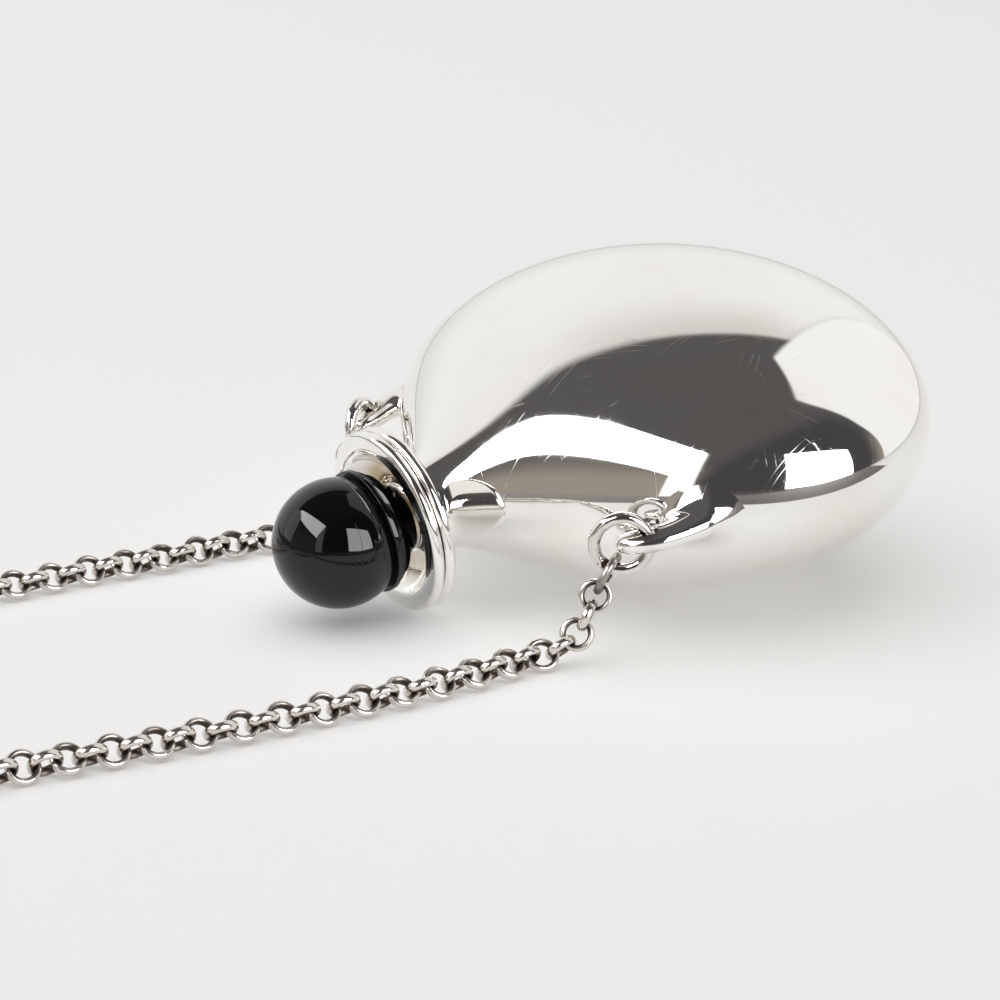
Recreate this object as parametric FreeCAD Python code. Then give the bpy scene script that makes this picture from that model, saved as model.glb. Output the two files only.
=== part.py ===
import FreeCAD, Part
import math
import os

from FreeCAD import Matrix, Placement, Rotation, Vector

# A silver flask pendant with an onyx stopper, on a round-link chain.
# The flask lies on its belly and on the rim of its lip, mouth towards -X.
# Units are millimetres and degrees. The origin is under the middle of the
# flask and its stopper, on the table, with +Z up.

# --- driving dimensions -------------------------------------------------

TILT = 11.5                  # how far the flask's axis dips towards its mouth
WALL = 0.6                   # silver sheet of the two body shells
BODY_HALF_LENGTH = 18.2
BODY_HALF_WIDTH = 24.4
BODY_HALF_THICKNESS = 11.6
NECK_RADIUS = 3.3
NECK_START = 2.9             # behind the lip's front plane, where the shells begin
FLARE_END = 12.0             # where the neck's flare has become the ellipsoid
TUBE_RADIUS = 2.75           # neck tube, outside
BORE_RADIUS = 2.35           # neck tube, inside
TUBE_END = 8.5

LIP_RADIUS = 7.1
BEAD = 0.45                  # radius of each of the lip's two edge beads
BEAD_GAP = 0.1
BOWL_RADIUS = 5.45
BOWL_DEPTH = 1.55

BALL_RADIUS = 5.0
BALL_AHEAD = 4.03            # ball's centre, ahead of the lip's front plane
PEG_RADIUS = 0.9
PEG_END = 3.5                # how deep the peg goes into the plug
COLLAR_FRONT = -1.75         # first step of the stopper's black foot
FOOT_BACK = 1.25             # where the foot meets the plug's flange
FLANGE_RADIUS = 2.60
PLUG_RADIUS = 1.75
PLUG_TIP_RADIUS = 1.1
PLUG_END = 6.5
SEAL_CLEARANCE = 0.05

EYE = Vector(10.69, -19.32, 0)         # near lug's eye, in the flask's own frame
EYE_WAIST = 0.60
EYE_MOUTH = 1.05
RING_HEADING = Vector(-0.837, 0.547, 0)  # from the eye to the jump ring's centre
RING_RADIUS = 1.99           # to the middle of the wire
RING_WIRE = 0.43
RING_HANG = 58.0             # where the chain hangs, round the ring from its far side
CONNECTOR_DROP = 0.5         # from that point to the connector ring's centre

CHAIN_WIDTH = 2.55           # outside diameter of a link, so the chain's width
LINK_THICKNESS = 0.44        # across the wire, along the link's radius
LINK_BREADTH = 0.62          # across the wire, along the link's axis
PITCH = 1.52                 # from link to link where the chain hangs
LINK_SLACK = 0.08
CONNECTOR_RADIUS = 1.4
CONNECTOR_WIRE = 0.3
FACE_NORMAL = Vector(-0.35, -0.72, 0.60)

COIL_RADIUS = 17.0           # to the middle of the chain in the outer turn
COIL_STEP = 2.75             # from one turn to the next
COIL_LEAD = 9.6              # straight lead-in before the chain meets the coil
NEAR_COIL_TURNS = 2.72
FAR_COIL_TURNS = 2.96
NEAR_COIL = Vector(-71.0, -0.05, 0)
FAR_COIL = Vector(-55.0, 34.62, 0)

CLASP_RADIUS = 3.2
CLASP_TUBE = 0.95
CLASP_BORE = 0.50
BOLT_RADIUS = 0.42
CLASP_GAP = 27.0             # half of the clasp's opening, as an angle
BOLT_TRAVEL = 56.0           # how far the bolt slides back, as an angle
KNOB_ANGLE = 56.0
KNOB_SLOT = 0.3              # half the height of the knob's slot in the case
CLASP_EYE_RADIUS = 1.0
CLASP_EYE_WIRE = 0.25
CLASP_EYE_OUT = 0.85         # from the case's outside to the eye's middle
END_LINK_RADIUS = 1.3        # the upright ring that joins a chain to its fitting
END_RING_RADIUS = 1.65
END_RING_WIRE = 0.35
END_RING_LEAN = 20.0
UPRIGHT_TURN = 14            # how far past the chain's end the upright ring stands
UPRIGHT_GAP = 0.02

# Directions from each hanging link to the next one, on the near side.
DROP = [
    Vector(-0.60, -0.06, -0.80),
    Vector(-0.45, 0.03, -0.89),
    Vector(-0.50, 0.10, -0.86),
    Vector(-0.80, 0.15, -0.56),
    Vector(-0.96, 0.12, -0.24),
]
FIRST_HANG = Vector(-0.65, -0.07, -0.757)

# Routes of the chain where it lies straight on the table.
CHAIN_HEIGHT = CHAIN_WIDTH / 2
BEND_SHARE = 0.45            # how much of a straight run its bend takes up
NEAR_ROUTE = [
    Vector(-15.60, -17.15, CHAIN_HEIGHT),
    Vector(-20.20, -17.90, CHAIN_HEIGHT),
    Vector(-27.20, -18.35, CHAIN_HEIGHT),
    Vector(-37.00, -18.30, CHAIN_HEIGHT),
    Vector(-46.00, -17.90, CHAIN_HEIGHT),
    Vector(-54.50, -17.05, CHAIN_HEIGHT),
    Vector(-61.40, -17.05, CHAIN_HEIGHT),
]
FAR_ROUTE = [
    Vector(-15.60, 17.15, CHAIN_HEIGHT),
    Vector(-19.60, 17.80, CHAIN_HEIGHT),
    Vector(-25.60, 17.45, CHAIN_HEIGHT),
    Vector(-32.20, 17.75, CHAIN_HEIGHT),
    Vector(-38.60, 17.62, CHAIN_HEIGHT),
    Vector(-45.40, 17.62, CHAIN_HEIGHT),
]

# --- worked out from them -----------------------------------------------

SIN = math.sin(math.radians(TILT))
COS = math.cos(math.radians(TILT))
LIP_HEIGHT = (LIP_RADIUS - BEAD) * COS + BEAD - BEAD * SIN
BELLY_REACH = math.hypot(BODY_HALF_LENGTH * SIN, BODY_HALF_THICKNESS * COS)
END_REACH = math.hypot(BODY_HALF_LENGTH * COS, BODY_HALF_THICKNESS * SIN)
BODY_BACK = (BELLY_REACH - LIP_HEIGHT) / SIN
LIP_X = (BALL_AHEAD * COS + BALL_RADIUS - BODY_BACK * COS - END_REACH) / 2
FLASK = Placement(Vector(LIP_X, 0, LIP_HEIGHT), Rotation(Vector(0, 1, 0), -TILT))
AXIS = Vector(1, 0, 0)       # the flask's axis in its own frame, from the mouth
BIG = 60.0

os.makedirs("parts", exist_ok=True)


def save(name, shape):
    """Write one sub-part to its own STEP file."""
    if not shape.isValid():
        print("not valid:", name)
    shape.exportStep("parts/" + name + ".step")


def save_on_flask(name, shape):
    """Tip a sub-part made in the flask's own frame into place and write it."""
    placed = shape.copy()
    placed.Placement = FLASK.multiply(placed.Placement)
    save(name, placed)


def turned(edges):
    """A solid of revolution about the flask's axis from edges in (x, 0, r)."""
    face = Part.Face(Part.Wire(Part.__sortEdges__(edges)))
    return face.revolve(Vector(0, 0, 0), AXIS, 360)


def line(start, end):
    return Part.LineSegment(Vector(start[0], 0, start[1]), Vector(end[0], 0, end[1])).toShape()


def arc(start, middle, end):
    points = [Vector(x, 0, r) for x, r in (start, middle, end)]
    return Part.Arc(*points).toShape()


def polygon(points):
    """The closed chain of straight edges through points in (x, r)."""
    return [line(a, b) for a, b in zip(points, points[1:] + points[:1])]


def rod(start, end, radius):
    """A cylinder along the flask's axis."""
    return Part.makeCylinder(radius, end - start, Vector(start, 0, 0), AXIS)


def mirrored(shape):
    """The far side's copy of a near-side piece."""
    return shape.mirror(Vector(0, 0, 0), Vector(0, 1, 0))


# --- the flask's body ----------------------------------------------------


def eased(start, end, slope, t):
    """A smooth rise from start, level at first, to end with the given slope."""
    rise = (end - start) * (3 * t ** 2 - 2 * t ** 3)
    return start + rise + slope * (t ** 3 - t ** 2)


def ellipse_wire(x, half_width, half_thickness):
    curve = Part.Ellipse(
        Vector(x, half_width, 0),
        Vector(x, 0, half_thickness),
        Vector(x, 0, 0))
    return Part.Wire([curve.toShape()])


def body_form(inset, neck, flare_start):
    """The bottle's form, drawn in by inset: a flared neck on an ellipsoid."""
    length = BODY_HALF_LENGTH - inset
    width = BODY_HALF_WIDTH - inset
    thickness = BODY_HALF_THICKNESS - inset
    along = (BODY_BACK - FLARE_END) / length
    shrink = math.sqrt(1 - along ** 2)
    run = FLARE_END - flare_start
    width_slope = width * along / length / shrink * run
    thickness_slope = thickness * along / length / shrink * run
    stations = 8
    hair = 0.002             # keeps the first section an ellipse, not a circle
    wires = []
    for step in range(stations + 1):
        t = step / stations
        x = flare_start + run * t
        half_width = eased(neck, width * shrink, width_slope, t) + hair * (1 - t)
        half_thickness = eased(neck, thickness * shrink, thickness_slope, t)
        wires.append(ellipse_wire(x, half_width, half_thickness))
    flare = Part.makeLoft(wires, True, False)
    scaling = Matrix()
    scaling.scale(length, width, thickness)
    scaling.move(Vector(BODY_BACK, 0, 0))
    egg = Part.makeSphere(1).transformGeometry(scaling)
    front = Part.makeBox(BIG, 2 * BIG, 2 * BIG, Vector(FLARE_END - BIG, -BIG, -BIG))
    return flare.fuse(egg.cut(front))


def body_shells(outer):
    inner_start = NECK_START + 1.6
    inner = body_form(WALL, TUBE_RADIUS + 0.1, inner_start)
    bore = rod(NECK_START - 1, inner_start + 0.5, TUBE_RADIUS)
    wall = outer.cut(inner).cut(bore)
    upper_half = Part.makeBox(2 * BIG, 2 * BIG, BIG, Vector(-BIG, -BIG, 0))
    return wall.common(upper_half), wall.cut(upper_half)


def neck_tube():
    outside = rod(BOWL_DEPTH, TUBE_END, TUBE_RADIUS)
    return outside.cut(rod(BOWL_DEPTH - 1, TUBE_END + 1, BORE_RADIUS))


def mouth_lip():
    """A spun lip: a shallow bowl in front, and two round beads at its edge."""
    crest = LIP_RADIUS - BEAD
    second = 2 * BEAD + BEAD_GAP
    back = second + 2 * BEAD
    cove = NECK_START - back
    inner = NECK_RADIUS + cove
    dip = cove * math.sqrt(0.5)
    rim = 0.1
    floor = (BOWL_DEPTH, 2.9)
    bowl_middle = (1.096, 4.70)
    edges = [
        line((BOWL_DEPTH, TUBE_RADIUS), floor),
        arc(floor, bowl_middle, (rim, BOWL_RADIUS)),
        line((rim, BOWL_RADIUS), (0, BOWL_RADIUS + rim)),
        line((0, BOWL_RADIUS + rim), (0, crest)),
        arc((0, crest), (BEAD, LIP_RADIUS), (2 * BEAD, crest)),
        line((2 * BEAD, crest), (second, crest)),
        arc((second, crest), (second + BEAD, LIP_RADIUS), (back, crest)),
        line((back, crest), (back, inner)),
        arc((back, inner), (NECK_START - dip, inner - dip), (NECK_START, NECK_RADIUS)),
        line((NECK_START, NECK_RADIUS), (NECK_START, TUBE_RADIUS)),
        line((NECK_START, TUBE_RADIUS), (BOWL_DEPTH, TUBE_RADIUS)),
    ]
    return turned(edges)


# --- lugs and jump rings --------------------------------------------------


def near_lug(outer):
    """A horn that leaves the shoulder and runs forward to a rounded eye."""
    sections = [
        (17.60, -18.50, 2.10, 1.60),
        (15.20, -19.45, 1.95, 1.40),
        (12.90, -19.85, 1.70, 1.15),
        (10.90, -19.40, 1.50, 0.95),
        (9.75, -18.72, 1.15, 0.85),
        (9.05, -18.28, 0.68, 0.55),
        (8.76, -18.09, 0.30, 0.25),
    ]
    wires = []
    for index, (x, y, breadth, depth) in enumerate(sections):
        before = sections[max(index - 1, 0)]
        after = sections[min(index + 1, len(sections) - 1)]
        heading = Vector(after[0] - before[0], after[1] - before[1], 0).normalize()
        across = Vector(-heading.y, heading.x, 0)
        middle = Vector(x, y, 0)
        curve = Part.Ellipse(
            middle + across * breadth,
            middle + Vector(0, 0, depth),
            middle)
        wires.append(Part.Wire([curve.toShape()]))
    horn = Part.makeLoft(wires, True, False)
    half = 1.1
    hourglass = [
        Part.LineSegment(Vector(0, 0, -half), Vector(EYE_MOUTH, 0, -half)).toShape(),
        Part.Arc(
            Vector(EYE_MOUTH, 0, -half),
            Vector(EYE_WAIST, 0, 0),
            Vector(EYE_MOUTH, 0, half)).toShape(),
        Part.LineSegment(Vector(EYE_MOUTH, 0, half), Vector(0, 0, half)).toShape(),
        Part.LineSegment(Vector(0, 0, half), Vector(0, 0, -half)).toShape(),
    ]
    face = Part.Face(Part.Wire(hourglass))
    eye = face.revolve(Vector(0, 0, 0), Vector(0, 0, 1), 360)
    eye.translate(EYE)
    return horn.cut(eye).cut(outer)


def near_ring():
    normal = Vector(0, 0, 1).cross(RING_HEADING)
    middle = EYE + RING_HEADING * RING_RADIUS
    return Part.makeTorus(RING_RADIUS, RING_WIRE, middle, normal)


def hang_point():
    """Where the chain hangs on the near ring, in the flask's own frame."""
    angle = math.radians(RING_HANG)
    spoke = RING_HEADING * math.cos(angle) - Vector(0, 0, math.sin(angle))
    return EYE + (RING_HEADING + spoke) * RING_RADIUS


# --- the stopper -----------------------------------------------------------


def stopper_ball():
    ball = Part.makeSphere(BALL_RADIUS, Vector(-BALL_AHEAD, 0, 0))
    return ball.cut(rod(-BALL_AHEAD, BALL_RADIUS, PEG_RADIUS))


def stopper_foot():
    """A stepped collar that cups the back of the ball."""
    steps = [
        (COLLAR_FRONT, 4.75),
        (-1.30, 4.75),
        (-1.30, 4.40),
        (-0.80, 4.40),
        (-0.80, 4.00),
        (-0.20, 4.00),
        (-0.20, 3.50),
        (FOOT_BACK, FLANGE_RADIUS),
    ]
    profile = polygon([(COLLAR_FRONT, PEG_RADIUS)] + steps + [(FOOT_BACK, PEG_RADIUS)])
    ball = Part.makeSphere(BALL_RADIUS, Vector(-BALL_AHEAD, 0, 0))
    return turned(profile).cut(ball)


def stopper_peg():
    return rod(-BALL_AHEAD, PEG_END, PEG_RADIUS)


def stopper_plug():
    """The silver plug: a thin flange and a tapered tip."""
    flange_back = FOOT_BACK + 0.25
    profile = polygon([
        (FOOT_BACK, PEG_RADIUS),
        (FOOT_BACK, FLANGE_RADIUS),
        (flange_back, FLANGE_RADIUS),
        (flange_back, PLUG_RADIUS),
        (PLUG_END - 0.7, PLUG_RADIUS),
        (PLUG_END, PLUG_TIP_RADIUS),
        (PLUG_END, 0),
        (PEG_END, 0),
        (PEG_END, PEG_RADIUS),
    ])
    return turned(profile)


def stopper_seal():
    sleeve = rod(FOOT_BACK + 0.5, PLUG_END - 0.75, BORE_RADIUS - SEAL_CLEARANCE)
    return sleeve.cut(rod(FOOT_BACK, PLUG_END, PLUG_RADIUS))


# --- the chain ----------------------------------------------------------------


def oval_ring(middle, normal, radius, thickness, breadth):
    """A closed ring of oval wire: radius is to the middle of the wire."""
    section = Part.Ellipse(
        Vector(radius, 0, breadth / 2),
        Vector(radius + thickness / 2, 0, 0),
        Vector(radius, 0, 0)).toShape()
    face = Part.Face(Part.Wire([section]))
    ring = face.revolve(Vector(0, 0, 0), Vector(0, 0, 1), 360)
    ring.Placement = Placement(middle, Rotation(Vector(0, 0, 1), normal))
    return ring


def hanging_links():
    """The connector ring and the links that hang from the near jump ring."""
    hook = FLASK.multVec(hang_point())
    heading = Vector(FIRST_HANG).normalize()
    centre = hook + heading * CONNECTOR_DROP
    across = heading.cross(FACE_NORMAL).normalize()
    connector = Part.makeTorus(CONNECTOR_RADIUS, CONNECTOR_WIRE, centre, across)
    link_radius = (CHAIN_WIDTH - LINK_THICKNESS) / 2
    first = CONNECTOR_RADIUS - CONNECTOR_WIRE + link_radius - LINK_THICKNESS / 2 - LINK_SLACK
    links = []
    for index, step in enumerate(DROP):
        heading = Vector(step).normalize()
        centre = centre + heading * (PITCH if index else first)
        across = heading.cross(FACE_NORMAL).normalize()
        normal = across if index % 2 else across.cross(heading)
        ring = oval_ring(centre, normal, link_radius, LINK_THICKNESS, LINK_BREADTH)
        links.append(ring)
    return connector, links


def chain_tube(route, name):
    """A round tube along straight runs joined by tangent arcs."""
    edges = []
    radii = []
    start = route[0]
    for before, corner, after in zip(route, route[1:], route[2:]):
        incoming = corner - before
        outgoing = after - corner
        turn = incoming.getAngle(outgoing)
        reach = BEND_SHARE * min(incoming.Length, outgoing.Length)
        radius = reach / math.tan(turn / 2)
        into = corner - Vector(incoming).normalize() * reach
        out = corner + Vector(outgoing).normalize() * reach
        inward = (Vector(outgoing).normalize() - Vector(incoming).normalize()).normalize()
        depth = radius / math.cos(turn / 2) - radius
        edges.append(Part.LineSegment(start, into).toShape())
        edges.append(Part.Arc(into, corner + inward * depth, out).toShape())
        radii.append(round(radius, 1))
        start = out
    edges.append(Part.LineSegment(start, route[-1]).toShape())
    path = Part.Wire(edges)
    heading = route[1] - route[0]
    section = Part.Wire([Part.makeCircle(CHAIN_WIDTH / 2, route[0], heading)])
    tube = path.makePipeShell([section], True, False)
    expected = math.pi * (CHAIN_WIDTH / 2) ** 2 * path.Length
    print(name, "radii", radii, "length", round(path.Length, 2))
    print(name, "volume", round(tube.Volume, 2), "section x length", round(expected, 2))
    return tube


def coil_solid(centre, turns):
    """The outer shape of a flat coil, with its straight lead-in."""
    half = CHAIN_WIDTH / 2
    outside = COIL_RADIUS + half
    inside = COIL_RADIUS - turns * COIL_STEP - half
    sink = 0.04
    base = centre + Vector(0, 0, sink)
    disc = Part.makeCylinder(outside, CHAIN_WIDTH - 2 * sink, base)
    disc = disc.cut(Part.makeCylinder(inside, CHAIN_WIDTH, centre))
    lead_start = centre + Vector(0, -COIL_RADIUS, half)
    lead = Part.makeCylinder(half, COIL_LEAD, lead_start, Vector(1, 0, 0))
    print("coil chain length", round(2 * math.pi * turns * (COIL_RADIUS - turns * COIL_STEP / 2), 1))
    return disc.fuse(lead).removeSplitter()


def turned_by(vector, degrees):
    return Rotation(Vector(0, 0, 1), degrees).multVec(vector)


def upright_link(centre, turns):
    """The ring on a coil's inner end: its middle, and the way inwards from it."""
    inside = COIL_RADIUS - turns * COIL_STEP - CHAIN_WIDTH / 2
    outwards = turned_by(AXIS, -90 - 360 * turns - UPRIGHT_TURN)
    reach = inside - END_LINK_RADIUS - CONNECTOR_WIRE - UPRIGHT_GAP
    height = Vector(0, 0, END_LINK_RADIUS + CONNECTOR_WIRE)
    return centre + outwards * reach + height, -outwards


# --- the spring-ring clasp and the end ring -------------------------------------


def torus_arc(radius, wire, start, end):
    ring = Part.makeTorus(radius, wire, Vector(0, 0, 0), Vector(0, 0, 1), 0, 360, end - start)
    ring.rotate(Vector(0, 0, 0), Vector(0, 0, 1), start)
    return ring


def clasp_pieces():
    """The clasp, drawn round the origin with its eye on the -X side."""
    case = torus_arc(CLASP_RADIUS, CLASP_TUBE, CLASP_GAP, 360 - CLASP_GAP)
    case = case.cut(Part.makeTorus(CLASP_RADIUS, CLASP_BORE))
    slot_start = KNOB_ANGLE - 6
    slot_turn = BOLT_TRAVEL + 12
    floor = Vector(0, 0, -KNOB_SLOT)
    wedge = Part.makeCylinder(2 * CLASP_RADIUS, 2 * KNOB_SLOT, floor, Vector(0, 0, 1), slot_turn)
    wedge = wedge.cut(Part.makeCylinder(CLASP_RADIUS, BIG, Vector(0, 0, -BIG / 2)))
    wedge.rotate(Vector(0, 0, 0), Vector(0, 0, 1), slot_start)
    case = case.cut(wedge)
    bolt = torus_arc(CLASP_RADIUS, BOLT_RADIUS, -CLASP_GAP - 4, 85)
    knob_heading = turned_by(AXIS, KNOB_ANGLE)
    stem_start = knob_heading * (CLASP_RADIUS + 0.35)
    stem = Part.makeCylinder(0.22, 1.2, stem_start, knob_heading)
    pin_head = Part.makeSphere(0.42, knob_heading * (CLASP_RADIUS + 1.75))
    knob = stem.fuse(pin_head)
    knob = knob.cut(bolt)
    coils = []
    for angle in range(146, 236, 9):
        heading = turned_by(Vector(0, 1, 0), angle)
        middle = turned_by(AXIS, angle) * CLASP_RADIUS
        coils.append(Part.makeTorus(0.36, 0.08, middle, heading))
    spring = Part.makeCompound(coils)
    eye_middle = Vector(-CLASP_RADIUS - CLASP_TUBE - CLASP_EYE_OUT, 0, 0)
    eye = Part.makeTorus(CLASP_EYE_RADIUS, CLASP_EYE_WIRE, eye_middle, Vector(0, 0, 1))
    return {
        "clasp_case": case,
        "clasp_bolt": bolt,
        "clasp_knob": knob,
        "clasp_spring": spring,
        "clasp_eye": eye.cut(case),
    }


def clasp_place():
    """Where the clasp lies: its link, and the clasp's own placement."""
    link_middle, towards = upright_link(NEAR_COIL, NEAR_COIL_TURNS)
    reach = CONNECTOR_WIRE + CLASP_EYE_RADIUS + CLASP_EYE_OUT + CLASP_TUBE + CLASP_RADIUS
    middle = Vector(link_middle.x, link_middle.y, CLASP_TUBE) + towards * reach
    return link_middle, towards, Placement(middle, Rotation(AXIS, towards))


def end_ring_pieces():
    """The far chain's end: an upright link, and a ring that rests on it."""
    link_middle, towards = upright_link(FAR_COIL, FAR_COIL_TURNS)
    side = towards.cross(Vector(0, 0, 1))
    link = Part.makeTorus(END_LINK_RADIUS, CONNECTOR_WIRE, link_middle, side)
    lean = math.radians(END_RING_LEAN)
    height = END_RING_WIRE + END_RING_RADIUS * math.sin(lean)
    reach = CONNECTOR_WIRE + 0.15 + END_RING_RADIUS * math.cos(lean)
    middle = Vector(link_middle.x, link_middle.y, height) + towards * reach
    normal = towards * math.sin(lean) + Vector(0, 0, math.cos(lean))
    ring = Part.makeTorus(END_RING_RADIUS, END_RING_WIRE, middle, normal)
    return link, ring


# --- build everything --------------------------------------------------------------

outer_form = body_form(0, NECK_RADIUS, NECK_START)
shell_upper, shell_lower = body_shells(outer_form)
save_on_flask("shell_upper", shell_upper)
save_on_flask("shell_lower", shell_lower)
save_on_flask("neck_tube", neck_tube())
save_on_flask("mouth_lip", mouth_lip())

lug = near_lug(outer_form)
save_on_flask("near_lug", lug)
save_on_flask("far_lug", mirrored(lug))
save_on_flask("near_jump_ring", near_ring())
save_on_flask("far_jump_ring", mirrored(near_ring()))

save_on_flask("stopper_ball", stopper_ball())
save_on_flask("stopper_foot", stopper_foot())
save_on_flask("stopper_peg", stopper_peg())
save_on_flask("stopper_plug", stopper_plug())
save_on_flask("stopper_seal", stopper_seal())

connector_ring, hanging = hanging_links()
save("near_connector_link", connector_ring)
save("far_connector_link", mirrored(connector_ring))
for number, ring in enumerate(hanging, 1):
    save("near_link_" + str(number), ring)
    save("far_link_" + str(number), mirrored(ring))

save("near_chain", chain_tube(NEAR_ROUTE, "near chain"))
save("far_chain", chain_tube(FAR_ROUTE, "far chain"))
save("near_coil", coil_solid(NEAR_COIL, NEAR_COIL_TURNS))
save("far_coil", coil_solid(FAR_COIL, FAR_COIL_TURNS))

clasp_link_middle, clasp_heading, clasp_placement = clasp_place()
for name, shape in clasp_pieces().items():
    shape.Placement = clasp_placement.multiply(shape.Placement)
    save(name, shape)
upright = clasp_heading.cross(Vector(0, 0, 1))
clasp_link = Part.makeTorus(END_LINK_RADIUS, CONNECTOR_WIRE, clasp_link_middle, upright)
save("clasp_link", clasp_link)
end_link, end_ring = end_ring_pieces()
save("end_link", end_link)
save("end_ring", end_ring)

eye_point = FLASK.multVec(EYE)
hook_point = FLASK.multVec(hang_point())
print("lip centre", LIP_X, LIP_HEIGHT, "body back", BODY_BACK)
print("near eye", eye_point, "near hook", hook_point)
print("clasp centre", clasp_placement.Base, "heading", clasp_heading)
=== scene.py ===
import math

import bmesh
import bpy
from mathutils import Matrix, Vector


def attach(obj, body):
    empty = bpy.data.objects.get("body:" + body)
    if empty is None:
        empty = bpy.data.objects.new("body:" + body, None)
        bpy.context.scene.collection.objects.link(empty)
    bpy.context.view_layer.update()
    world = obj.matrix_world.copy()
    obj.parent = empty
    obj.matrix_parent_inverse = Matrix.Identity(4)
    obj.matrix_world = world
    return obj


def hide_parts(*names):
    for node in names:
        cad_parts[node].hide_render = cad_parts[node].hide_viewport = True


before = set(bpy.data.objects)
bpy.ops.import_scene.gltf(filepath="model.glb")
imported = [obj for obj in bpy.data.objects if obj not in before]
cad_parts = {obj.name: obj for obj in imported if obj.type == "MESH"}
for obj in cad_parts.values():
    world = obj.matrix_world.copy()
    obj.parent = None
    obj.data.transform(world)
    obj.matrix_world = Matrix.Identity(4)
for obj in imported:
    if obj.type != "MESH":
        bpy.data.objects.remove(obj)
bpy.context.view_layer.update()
scene = bpy.context.scene
MM = 0.001


# --- Camera ---------------------------------------------------------------
# A long lens, low over the table, looking across the stopper to the flask.

camera_data = bpy.data.cameras.new("camera")
camera_data.lens = 122.4
camera_data.sensor_width = 36
camera_data.clip_start = 0.01
camera = bpy.data.objects.new("camera", camera_data)
camera.location = Vector((-139.34, -207.36, 81.83)) * MM
looks_at = Vector((5.78, 19.54, 0.0)) * MM
camera.rotation_euler = (looks_at - camera.location).to_track_quat("-Z", "Y").to_euler()
scene.collection.objects.link(camera)
scene.camera = camera


# --- Chain silver -----------------------------------------------------------
# Sterling silver wire. The outside of each link is bright, and inside each ring and where
# the links rub its colour is painted dark: partly a warm grey-brown tarnish, partly painted shade.


def add_node(tree, kind, **settings):
    """A node with its settings made and its inputs filled in by name or number."""
    node = tree.nodes.new(kind)
    for name, value in settings.pop("inputs", {}).items():
        node.inputs[name].default_value = value
    for name, value in settings.items():
        setattr(node, name, value)
    return node


def new_material(name):
    material = bpy.data.materials.new(name)
    material.use_nodes = True
    tree = material.node_tree
    return material, tree, tree.nodes["Principled BSDF"]


def noise(tree, scale, detail=2.0, roughness=0.5, stretch=(1, 1, 1), turn=(0, 0, 0)):
    """Noise on the object's own coordinates, stretched and turned as asked."""
    where = add_node(tree, "ShaderNodeTexCoord")
    mapping = add_node(
        tree, "ShaderNodeMapping", vector_type="TEXTURE",
        inputs={"Scale": [1 / s for s in stretch], "Rotation": turn})
    texture = add_node(
        tree, "ShaderNodeTexNoise",
        inputs={"Scale": scale, "Detail": detail, "Roughness": roughness})
    tree.links.new(where.outputs["Object"], mapping.inputs["Vector"])
    tree.links.new(mapping.outputs["Vector"], texture.inputs["Vector"])
    return texture.outputs["Fac"]


def spread(tree, value, low, high, to_low=0.0, to_high=1.0):
    """A value taken from one range to another, clamped, with soft ends."""
    node = add_node(
        tree, "ShaderNodeMapRange", interpolation_type="SMOOTHSTEP",
        inputs={"From Min": low, "From Max": high, "To Min": to_low, "To Max": to_high})
    tree.links.new(value, node.inputs["Value"])
    return node.outputs["Result"]


def combine(tree, operation, first, second):
    """Maths on two values, each a socket or a number."""
    node = add_node(tree, "ShaderNodeMath", operation=operation)
    for socket, value in zip(node.inputs, (first, second)):
        if isinstance(value, (int, float)):
            socket.default_value = value
        else:
            tree.links.new(value, socket)
    return node.outputs["Value"]


def blend_colours(tree, amount, first, second):
    """One colour going over to another; each is a socket or an RGB triple."""
    node = add_node(tree, "ShaderNodeMix", data_type="RGBA")
    tree.links.new(amount, node.inputs["Factor"])
    for name, value in (("A", first), ("B", second)):
        socket = [s for s in node.inputs if s.name == name and s.type == "RGBA"][0]
        if isinstance(value, tuple):
            socket.default_value = (*value, 1.0)
        else:
            tree.links.new(value, socket)
    return [s for s in node.outputs if s.type == "RGBA"][0]


def bump(tree, height, distance, strength=1.0, under=None):
    node = add_node(tree, "ShaderNodeBump", inputs={"Strength": strength, "Distance": distance})
    tree.links.new(height, node.inputs["Height"])
    if under is not None:
        tree.links.new(under, node.inputs["Normal"])
    return node.outputs["Normal"]


def chain_silver():
    material, tree, shader = new_material("chain_silver")
    # Painted shade with tarnish: the link's colour is painted dark inside each link and where
    # links touch.
    tarnish_and_shade = add_node(tree, "ShaderNodeAttribute", attribute_name="tarnish_and_shade").outputs["Fac"]
    patches = noise(tree, 900.0, 3.0)
    uneven = combine(tree, "MULTIPLY_ADD", patches, 0.5)
    uneven.node.inputs[2].default_value = -0.22
    tarnish_and_shade_mask = combine(tree, "ADD", tarnish_and_shade, uneven)
    depth = spread(tree, tarnish_and_shade_mask, 0.02, 0.66)
    warm = blend_colours(tree, depth, (0.74, 0.70, 0.655), (0.085, 0.066, 0.054))
    tree.links.new(warm, shader.inputs["Base Color"])
    shader.inputs["Metallic"].default_value = 1.0
    tree.links.new(spread(tree, tarnish_and_shade_mask, 0.0, 0.9, 0.20, 0.46), shader.inputs["Roughness"])
    handled = noise(tree, 2600.0, 3.0)
    tree.links.new(bump(tree, handled, 0.00003, 0.35), shader.inputs["Normal"])
    return material


CHAIN_SILVER = chain_silver()


# --- Chain --------------------------------------------------------------------
# Round rolo links of heavy oval wire, each soldered shut and a quarter turn
# from its neighbour. Each side hangs from its ring, runs along the table and
# is wound up flat where it is out of the way.

CHAIN_WIDTH = 2.55 * MM
LINK_WIRE = 0.49 * MM            # the wire's thickness, across the link's face
LINK_RADIUS = (CHAIN_WIDTH - LINK_WIRE) / 2
PITCH = 1.56 * MM
REST_HEIGHT = 1.12 * MM          # a leaning link's middle above the table
COIL_RADIUS = 17.0
COIL_STEP = 2.75
COIL_POINTS = 24                 # points of the route in each turn
TUCK = 0.96                      # how far the coil's last stretch turns in


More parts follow.
